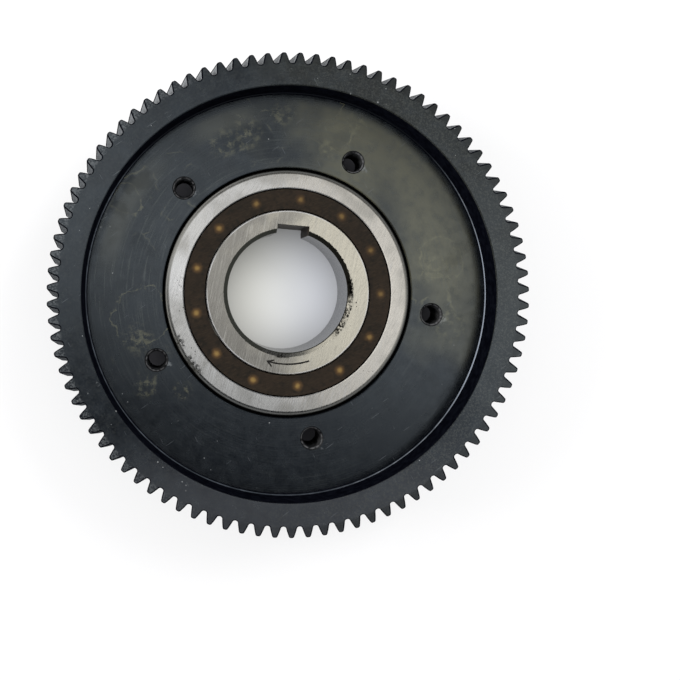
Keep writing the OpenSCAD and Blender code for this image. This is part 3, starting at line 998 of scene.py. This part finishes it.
def thread_cutter():
    """A threaded hole with a countersunk mouth, as the solid that it removes. The thread is a
    sharp one whose crest and root are a little flattened."""
    around = THREAD_STEPS_ROUND
    low, high = WEB_BACK - OVER, WEB_FRONT + OVER
    rings = round((high - low) / THREAD_PITCH * THREAD_STEPS_PER_PITCH)
    points = []
    for j in range(rings + 1):
        z = low + (high - low) * j / rings
        for i in range(around):
            turn = i / around
            along = (z / THREAD_PITCH + turn) % 1
            ridge = min(1, max(0, 1.4 * abs(2 * along - 1) - 0.2))
            mouths = (z - WEB_FRONT + HOLE_MOUTH, WEB_BACK + 0.5 * HOLE_MOUTH - z)
            r = HOLE_R + max(THREAD_DEPTH * ridge, *mouths)
            points.append((
                HOLE_CIRCLE_R + r * math.cos(TAU * turn), r * math.sin(TAU * turn), z))
    faces = [
        (j * around + i, j * around + (i + 1) % around,
         (j + 1) * around + (i + 1) % around, (j + 1) * around + i)
        for j in range(rings) for i in range(around)
    ]
    faces.append(tuple(range(around))[::-1])
    faces.append(tuple(range(rings * around, (rings + 1) * around)))
    return mesh_object("thread_cutter", points, faces)


def mark_finishes(gear):
    """Give the turned faces, the teeth, and the wall and corner of the recess their finishes. The
    wall's finish is painted shade, and the corner's is a painted highlight.
    """
    gear.data.materials.clear()
    finishes = ("gear", "teeth", "wall", "corner")
    for name in finishes:
        gear.data.materials.append(MATERIALS[name])
    for face in gear.data.polygons:
        radius = math.hypot(face.center.x, face.center.y) / MM
        height = face.center.z / MM
        level = abs(face.normal.z)  # 1 on a face square to the axis, 0 on one along it
        finish = "gear"
        if radius > FLANGE_R and level < 0.95:
            # The broken edges of the teeth take the wall's painted shade.
            finish = "teeth" if level < 0.4 else "wall"
        elif radius > RECESS_R - RECESS_FILLET and WEB_FRONT < height < RIM_FRONT - EDGE_BREAK:
            # The middle of the corner takes the painted highlight, and the rest takes the wall's
            # painted shade.
            finish = "corner" if 0.55 < level < 0.92 else "wall"
        face.material_index = finishes.index(finish)


def make_gear():
    gear = gear_sector()
    copy_round(gear, TEETH, TOOTH_PHASE, MATERIALS["gear"])
    mark_finishes(gear)
    holes = thread_cutter()
    copy_round(holes, HOLE_COUNT, HOLE_PHASE, MATERIALS["thread"])
    cut(gear, holes)
    shade(gear)
    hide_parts("gear")
    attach(gear, "gear_and_outer_ring")


# The clutch rings

def groove(centre_r, track_r, start, end):
    """The groove that the balls roll in, from where it leaves the track to where it meets it
    again."""
    reach = math.degrees(math.acos(abs(track_r - centre_r) / GROOVE_R))
    side = 0 if track_r > centre_r else 180
    return arc(
        (centre_r, BALL_Z), GROOVE_R, side + start * reach, side + end * reach, GROOVE_STEPS)


def make_outer_ring():
    low = CLUTCH_BACK + TRACK_CHAMFER
    high = CLUTCH_FRONT - TRACK_CHAMFER
    outline = [
        (OUTER_TRACK_R, low),
        *groove(PITCH_TRACK_R - GROOVE_SHIFT, OUTER_TRACK_R, -1, 1),
        (OUTER_TRACK_R, high),
        (OUTER_TRACK_R + TRACK_CHAMFER, CLUTCH_FRONT),
        *arc((SEAT_R - RING_ROUND, CLUTCH_FRONT - RING_ROUND), RING_ROUND, 90, 0, ROUNDING_STEPS),
        (SEAT_R, CLUTCH_FRONT - RING_ROUND - HOLD),
        (SEAT_R, CLUTCH_BACK + RING_ROUND + HOLD),
        *arc((SEAT_R - RING_ROUND, CLUTCH_BACK + RING_ROUND), RING_ROUND, 0, -90, ROUNDING_STEPS),
        (OUTER_TRACK_R + TRACK_CHAMFER, CLUTCH_BACK),
    ]
    ring = revolve("outer_ring", outline, RING_STEPS, MATERIALS["outer_ring"])
    shade(ring)
    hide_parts("outer_ring")
    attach(ring, "gear_and_outer_ring")


def arrow_strokes():
    """The strokes of the arrow as closed outlines: a bent line, and two barbs at its clockwise
    end that open backwards."""
    half = ARROW_LINE / 2

    def at(r, a):
        return (r * math.cos(a), r * math.sin(a))

    reach = ARROW_TAIL - ARROW_TIP
    span = [ARROW_TIP + reach * i / ARROW_STEPS for i in range(ARROW_STEPS + 1)]
    line = [at(ARROW_R + half, a) for a in span] + [at(ARROW_R - half, a) for a in reversed(span)]
    tip = Vector(at(ARROW_R, ARROW_TIP))
    outward = tip.normalized()
    back = Vector((-outward.y, outward.x))
    strokes = [line]
    for angle in BARB_ANGLES:
        along = back * math.cos(angle) + outward * math.sin(angle)
        across = Vector((-along.y, along.x)) * 0.9 * half
        start, end = tip - along * half, tip + along * BARB
        strokes.append([start - across, end - across, end + across, start + across])
    return strokes


def cut_arrow(ring):
    for outline in arrow_strokes():
        stroke = [(p[0], p[1]) for p in outline]
        turned = stroke[1:] + stroke[:1]
        if sum(a[0] * b[1] - b[0] * a[1] for a, b in zip(stroke, turned)) < 0:
            stroke.reverse()
        cut(ring, prism(
            "arrow_cutter", stroke, CLUTCH_FRONT - ARROW_DEPTH, CLUTCH_FRONT + OVER,
            MATERIALS["arrow"]))


def cut_keyway(ring):
    cos, sin = math.cos(KEY_ANGLE), math.sin(KEY_ANGLE)
    far, half = BORE_R + KEY_DEPTH, KEY_WIDTH / 2
    slot = [(BORE_R / 2, -half), (far, -half), (far, half), (BORE_R / 2, half)]
    outline = [(x * cos - y * sin, x * sin + y * cos) for x, y in slot]
    cut(ring, prism(
        "keyway_cutter", outline, CLUTCH_BACK - OVER, CLUTCH_FRONT + OVER, MATERIALS["keyway"]))


def make_inner_ring():
    edge = INNER_TRACK_R - TRACK_CHAMFER
    outline = [
        (INNER_TRACK_R, CLUTCH_BACK + TRACK_CHAMFER),
        *groove(PITCH_TRACK_R + GROOVE_SHIFT, INNER_TRACK_R, 1, -1),
        (INNER_TRACK_R, CLUTCH_FRONT - TRACK_CHAMFER),
        (edge, CLUTCH_FRONT),
        (BORE_R + BORE_CHAMFER, CLUTCH_FRONT),
        (BORE_R, CLUTCH_FRONT - BORE_CHAMFER),
        (BORE_R, CLUTCH_BACK + BORE_CHAMFER),
        (BORE_R + BORE_CHAMFER, CLUTCH_BACK),
        (edge, CLUTCH_BACK),
    ]
    ring = revolve("inner_ring", outline, RING_STEPS, MATERIALS["inner_ring"])
    cut_keyway(ring)
    cut_arrow(ring)
    shade(ring)
    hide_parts("inner_ring")
    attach(ring, "inner_ring")


make_gear()
make_outer_ring()
make_inner_ring()


# The CAD nodes that keep their own shape

def dress(node, material):
    node.data.materials.clear()
    node.data.materials.append(material)


def dress_inner_parts():
    kinds = {
        "ball_cage": "plastic", "back_cover": "plastic",
        "sprag_outer_cage": "sprag_cage", "sprag_inner_cage": "sprag_cage",
        "sprag_spring": "spring",
    }
    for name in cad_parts:
        if name.startswith("ball_") and name != "ball_cage":
            kinds[name] = "ball"
        elif name.startswith("sprag_") and name not in kinds:
            kinds[name] = "sprag"
    for name, kind in kinds.items():
        dress(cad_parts[name], MATERIALS[kind])


dress_inner_parts()


# Floor, world and lamps

def white_floor():
    # A plain white sheet. Lit parts come out white to the camera and in reflections, and the
    # object's shadow stays. Under the gear it is painted grey as painted shade, and under the bore
    # it glows as painted light, which is brightest there.
    material, tree = new_material("white_floor")
    place = place_in_mm(tree)
    x, _, _, radius = from_axis(tree, place)
    path = add(tree, "ShaderNodeLightPath").outputs
    seen = combine(
        tree, path["Is Camera Ray"], path["Is Glossy Ray"], path["Is Transmission Ray"],
        by="MAXIMUM")
    painted_shade_under_gear = combine(
        tree, (radius, TIP_R, FLANGE_R - 4), (radius, BORE_R + 4, BORE_R + 8))
    # Painted shade: the sheet is greyer under the gear.
    paper = add(tree, "ShaderNodeBsdfDiffuse", {"Color": coat(tree, "A6A6A7", "56565A", painted_shade_under_gear)})
    from_brightest = add(tree, "ShaderNodeVectorMath", {
        0: place, 1: (1.5, -1.5, 0),
    }, operation="DISTANCE").outputs["Value"]
    # Painted light: the glow under the bore, tinted warm at the left and cool at the right. Beyond
    # the teeth the sheet glows evenly white.
    strength = combine(
        tree, (from_brightest, 1.75 * BORE_R, 0.1 * BORE_R, 0, 0.6),
        (radius, FLANGE_R, TIP_R + 3, 0, 0.62), by="ADD")
    tint = coat(tree, "FAFAEE", "EEF2FC", (x, -BORE_R, BORE_R))
    tint = coat(tree, tint, "FFFFFF", (radius, HUB_R, FLANGE_R))
    glow = add(tree, "ShaderNodeEmission", {"Color": tint, "Strength": strength})
    both = add(tree, "ShaderNodeAddShader", {0: paper.outputs[0], 1: glow.outputs[0]})
    plain = add(tree, "ShaderNodeBsdfDiffuse", {"Color": linear("E6E6E6")})
    surface = add(tree, "ShaderNodeMixShader", {0: seen, 1: plain.outputs[0], 2: both.outputs[0]})
    add(tree, "ShaderNodeOutputMaterial", {0: surface.outputs[0]})
    sheet = [
        (FLOOR_REACH * side, FLOOR_REACH * end, -FLOOR_DROP)
        for side, end in ((-1, -1), (1, -1), (1, 1), (-1, 1))
    ]
    floor = mesh_object("floor", sheet, [(0, 1, 2, 3)])
    floor.data.materials.append(material)


# The room overhead as the black faces mirror it, from the near side of the table to the far
ROOM_TONES = (
    (0.0, "181C24"), (0.36, "23272D"), (0.42, "A8ABAE"), (0.46, "FFFFFF"), (0.64, "FFFFFF"),
    (0.7, "BABABA"), (0.8, "5C5C5C"), (1.0, "505050"),
)


def studio_world():
    # White behind the object, and plain white light on it. In reflections the room is dark at
    # the near side, bright overhead and dim at the far side, with a low window at the left.
    world = bpy.data.worlds.new("studio")
    bpy.context.scene.world = world
    world.use_nodes = True
    tree = world.node_tree
    tree.nodes.clear()
    direction = add(tree, "ShaderNodeTexCoord").outputs["Generated"]
    upwards, to_left, to_back = (
        add(tree, "ShaderNodeVectorMath", {
            0: direction, 1: axis,
        }, operation="DOT_PRODUCT").outputs["Value"]
        for axis in ((0, 0, 1), (-0.94, 0.34, 0), (0.3, 0.95, 0))
    )
    overhead = add(tree, "ShaderNodeValToRGB", {0: combine(tree, to_back, 0.5, by="ADD")})
    ramp = overhead.color_ramp.elements
    while len(ramp) < len(ROOM_TONES):
        ramp.new(0.5)
    for element, (position, tone) in zip(ramp, ROOM_TONES):
        element.position = position
        element.color = linear(tone)
    walls = coat(tree, "989B9F", "FFFFFF", (to_left, 0.4, 0.6), (upwards, 0.75, 0.55))
    room = coat(tree, walls, overhead.outputs[0], (upwards, 0.68, 0.86))
    path = add(tree, "ShaderNodeLightPath").outputs
    colour = coat(tree, room, "FFFFFF", path["Is Diffuse Ray"])
    colour = coat(tree, colour, "FFFFFF", path["Is Camera Ray"])
    strength = combine(tree, (path["Is Diffuse Ray"], 0, 1, 1, 0.65))
    background = add(tree, "ShaderNodeBackground", {"Color": colour, "Strength": strength})
    add(tree, "ShaderNodeOutputWorld", {0: background.outputs[0]})


def soft_lamp(name, place, size, power):
    """A square lamp of a size in mm that faces the object."""
    lamp = bpy.data.lights.new(name, "AREA")
    lamp.size = size * MM
    lamp.energy = power
    made = bpy.data.objects.new(name, lamp)
    bpy.context.scene.collection.objects.link(made)
    made.visible_glossy = False  # the world alone gives the reflections
    made.location = Vector(place) * MM
    made.rotation_euler = Vector(place).to_track_quat("Z", "Y").to_euler()


white_floor()
studio_world()
soft_lamp("window_left", (-600, 100, 330), 350, 3.0)
soft_lamp("window_right", (450, 350, 500), 400, 3.0)

bpy.context.scene.view_settings.view_transform = "Standard"
